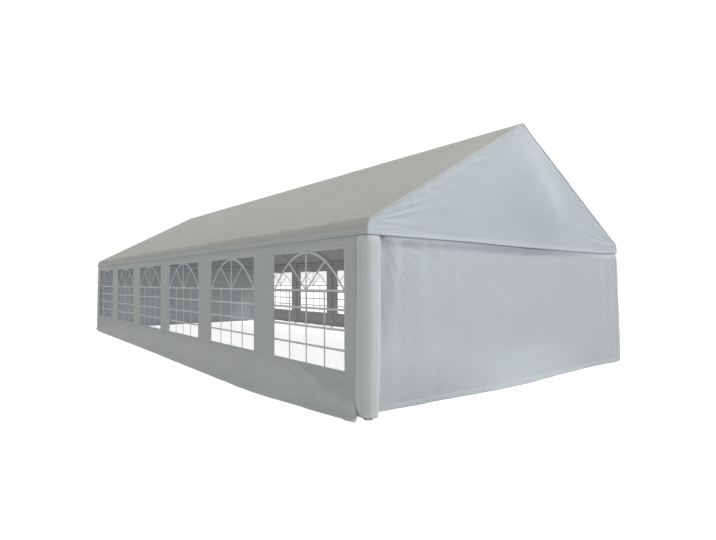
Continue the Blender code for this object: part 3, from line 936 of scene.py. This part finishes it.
def rounded_ring(half, radii):
    """A square ring with a radius for each corner, from the corner (1, 1) turning left."""
    corners = ((1, 1), (-1, 1), (-1, -1), (1, -1))
    points = []
    for k, ((sx, sy), r) in enumerate(zip(corners, radii)):
        cx, cy = sx * (half - r), sy * (half - r)
        for a in np.linspace(0, math.pi / 2, 13) + k * math.pi / 2:
            points.append((cx + r * math.cos(a), cy + r * math.sin(a)))
    points = np.array(points)
    closed = np.vstack([points, points[:1]])
    walk = np.concatenate([[0], np.cumsum(np.hypot(*np.diff(closed, axis=0).T))])
    even = np.linspace(0, walk[-1], round(walk[-1] / 0.012), endpoint=False)
    even = np.unique(np.round(np.concatenate([even, walk[:-1]]), 4))
    even = even[np.concatenate([[True], np.diff(even) > 0.003])]
    ring = stacked(np.interp(even, walk, closed[:, 0]), np.interp(even, walk, closed[:, 1]))
    return ring, even, walk[-1]


def square_reach(angle, half, radius):
    """How far a square with rounded corners reaches from its middle, by direction."""
    from_axis = np.abs((angle + math.pi / 4) % (math.pi / 2) - math.pi / 4)
    out = (half - radius) * math.sqrt(2)
    off = math.pi / 4 - from_axis
    arc = out * np.cos(off) + np.sqrt(np.maximum(radius**2 - (out * np.sin(off)) ** 2, 0))
    return np.where(np.tan(from_axis) < (half - radius) / half, half / np.cos(from_axis), arc)


def make_corner_cover(flip, side, end, word):
    low, high = COVER_LOW, COVER_TOP
    half = (high.x - low.x) / 2
    inner = half - SLEEVE_INSET
    cx, cy = side * (low.x + half), flip * (low.y + half)
    on_left = side * flip > 0
    radii = LEFT_RADII if on_left else RIGHT_RADII
    ring, walk, around = rounded_ring(inner, radii)
    z = edge_rows(low.z, high.z, 0.035, at_high=False)
    big_w, big_z = np.meshgrid(walk, z, indexing="ij")
    base_x = np.repeat(ring[:, :1], len(z), axis=1)
    base_y = np.repeat(ring[:, 1:], len(z), axis=1)
    turn = np.arctan2(base_y, base_x)
    u, v = np.cos(turn), np.sin(turn)
    seed = 700 + 10 * (flip > 0) + 5 * (side > 0)
    fold = noise(3 * u + 9, 3 * v + 9 + big_z * 0.35, seed) * 0.003
    fold += noise(6 * u + 30, 6 * v + 30 + big_z * 1.2, seed + 1) * 0.0014
    by_wall = ramp(-v, 0.35, 0.75) * ramp(u, 0.35, 0.6)
    fold = np.clip(fold, -0.0025, 0.003) * (1 - by_wall) + 0.0005 * by_wall
    fold += hem_relief(big_z - low.z, thick=0.0010, groove=0.0014)
    fold += 0.0008 * raised(big_w, around * 0.62, 0.012)
    grow = 1 + fold / np.maximum(np.abs(base_x), np.abs(base_y))
    squared = square_reach(turn, inner, ELBOW_R) / square_reach(turn, inner, radii[0]) - 1
    grow += squared * ramp(big_z, *ELBOW_Z) * (u > 0) * (v > 0)
    corner = f"{end}_{word}"
    out = sleeve_lean(corner, big_z)
    out = out + rounded_out(on_left, low.y + half + base_y, big_z) * ramp(base_x / half, 0, 0.8)
    out = out - through(big_z, SLEEVE_IN_Z, SLEEVE_IN) * on_left * ramp(-base_x / half, 0.2, 0.95)
    forward = SLEEVE_FRONT * (not on_left) * (1 - ramp(big_z, *FRONT_Z))
    bulge = rounded_out(on_left, high.y, big_z) + forward
    front = bulge * ramp(base_y / half, 0, 0.8) * ramp(base_x / half, -0.9, -0.1)
    under = SLEEVE_UNDER * (1 - ramp(big_z, 1.0, 1.6)) * ramp(-base_y / half, 0.6, 0.95)
    deep = base_y * grow + front - under
    points = stacked(cx + side * (base_x * grow + out), cy + flip * deep, big_z)
    name = f"corner_sleeve_{corner}"
    uv = stacked(big_w, big_z)
    mesh = grid_mesh(name, points, lambda p: p * (1, 1, 0) - (cx, cy, 0), uv, ring=True)
    sleeve = piece(name, mesh, COVER_MAT, "cover_fabric", f"corner_cover_{corner}", thick=CLOTH)


# Small pieces

def ring_part(place, normal):
    """A domed metal ring lying on a sheet."""
    inner, outer, sides = 0.006, 0.013, 20
    middle, sunk = (inner + outer) / 2, -0.0022
    section = ((inner, sunk), (inner, 0.0008), (middle, 0.0016), (outer, 0.0003), (outer, sunk))
    turn = Vector(normal).to_track_quat("Z", "Y").to_matrix()
    points = []
    for i in range(sides):
        a = math.tau * i / sides
        for radius, lift in section:
            local = Vector((radius * math.cos(a), radius * math.sin(a), lift))
            points.append(Vector(place) + turn @ local)
    return points, faces_between(sides, len(section))


def eyelets(name, places):
    parts = [ring_part(place, normal) for place, normal in places]
    return piece(name, mesh_of(name, parts), EYELET_MAT, "steel_tube")


# Camera, floor and light

def make_camera():
    """The photograph's camera, with a little roll."""
    data = bpy.data.cameras.new("camera")
    data.sensor_width = 36.0
    data.sensor_fit = "HORIZONTAL"
    data.lens = LENS
    data.shift_x = SHIFT_X
    data.clip_end = 3000.0
    camera = bpy.data.objects.new("camera", data)
    level = math.cos(TILT)
    forward = Vector((math.sin(YAW) * level, math.cos(YAW) * level, math.sin(TILT)))
    right = Vector((math.cos(YAW), -math.sin(YAW), 0))
    down = forward.cross(right)
    across = right * math.cos(ROLL) + down * math.sin(ROLL)
    below = -right * math.sin(ROLL) + down * math.cos(ROLL)
    turn = Matrix((across, -below, -forward)).transposed().to_4x4()
    camera.matrix_world = Matrix.Translation(CAMERA_AT) @ turn
    bpy.context.scene.collection.objects.link(camera)
    bpy.context.scene.camera = camera


def flat_plane(name, half_x, half_y, z, colour, glow):
    """A grey plane that glows evenly."""
    mat, tree, shader = new_material(name)
    fill(tree, shader, {
        "Base Color": (colour, colour, colour, 1), "Roughness": 0.9, "Specular IOR Level": 0.0,
        "Emission Color": (1, 1, 1, 1), "Emission Strength": glow,
    })
    mesh = bpy.data.meshes.new(name)
    corners = [(sx * half_x, sy * half_y, z) for sx, sy in ((-1, -1), (1, -1), (1, 1), (-1, 1))]
    mesh.from_pydata(corners, [], [(0, 1, 2, 3)])
    plane = bpy.data.objects.new(name, mesh)
    mesh.materials.append(mat)
    bpy.context.scene.collection.objects.link(plane)
    return plane


def make_floor():
    """A pale floor, and under the tent the dimmer light that shaded ground sends up."""
    floor = flat_plane("floor", 1000.0, 1000.0, -0.002, 0.5, FLOOR)
    floor.visible_diffuse = floor.visible_glossy = floor.visible_shadow = False
    shaded = flat_plane("shaded_ground", 2.95, 6.0, -0.004, 0.1, UNDER_TENT)
    shaded.visible_camera = False


def make_world():
    """White walls all round, a dimmer ceiling and hardly any light from below."""
    world = bpy.data.worlds.new("studio")
    bpy.context.scene.world = world
    world.use_nodes = True
    tree = world.node_tree
    view = node(tree, "ShaderNodeTexCoord", {}).outputs["Generated"]
    up = node(tree, "ShaderNodeSeparateXYZ", {0: view}).outputs[2]
    ceiling = spread_node(tree, up, 0.55, 0.75, SURROUND, CEILING)
    light = math_node(tree, "MULTIPLY", ceiling, math_node(tree, "GREATER_THAN", up, -0.06))
    light = math_node(tree, "MAXIMUM", light, FROM_BELOW)
    fill(tree, tree.nodes["Background"], {0: (1, 1, 1, 1), 1: light})


def lamp(name, kind, towards, **settings):
    """A lamp whose light comes from the given direction."""
    data = bpy.data.lights.new(name, kind)
    for key, value in settings.items():
        setattr(data, key, value)
    obj = bpy.data.objects.new(name, data)
    obj.rotation_euler = Vector(towards).to_track_quat("Z", "Y").to_euler()
    bpy.context.scene.collection.objects.link(obj)
    return obj


def make_lights():
    """A large soft lamp in front and a little to the left, and a softer light from above on the right."""
    towards = Vector((-0.22, -0.88, 0.42)).normalized()
    key = lamp("key", "AREA", towards, shape="DISK", size=5.0, energy=350.0, color=(0.97, 0.985, 1.0))
    key.location = Vector((0, -HALF_L, 1.8)) + towards * 14.0
    key.visible_camera = False
    lamp("top", "SUN", (0.66, -0.30, 0.69), energy=1.7, angle=math.radians(10), color=(1.0, 1.0, 0.985))
    bpy.context.scene.view_settings.view_transform = "Standard"


def dress_frame():
    """Zinc on the steel nodes that show."""
    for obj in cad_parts.values():
        if obj.hide_render:
            continue
        obj.data.materials.clear()
        obj.data.materials.append(STEEL_MAT)
        for slot in obj.material_slots:
            slot.material = STEEL_MAT


make_camera()
make_floor()
make_world()
make_lights()
make_roof()
for flip, end in ((-1, "front"), (1, "back")):
    make_gable(flip, end)
    make_end_wall(flip, end)
    for side, word in ((-1, "left"), (1, "right")):
        make_corner_cover(flip, side, end, word)
for side in (-1, 1):
    for front in (True, False):
        make_side_wall(side, front)
dress_frame()
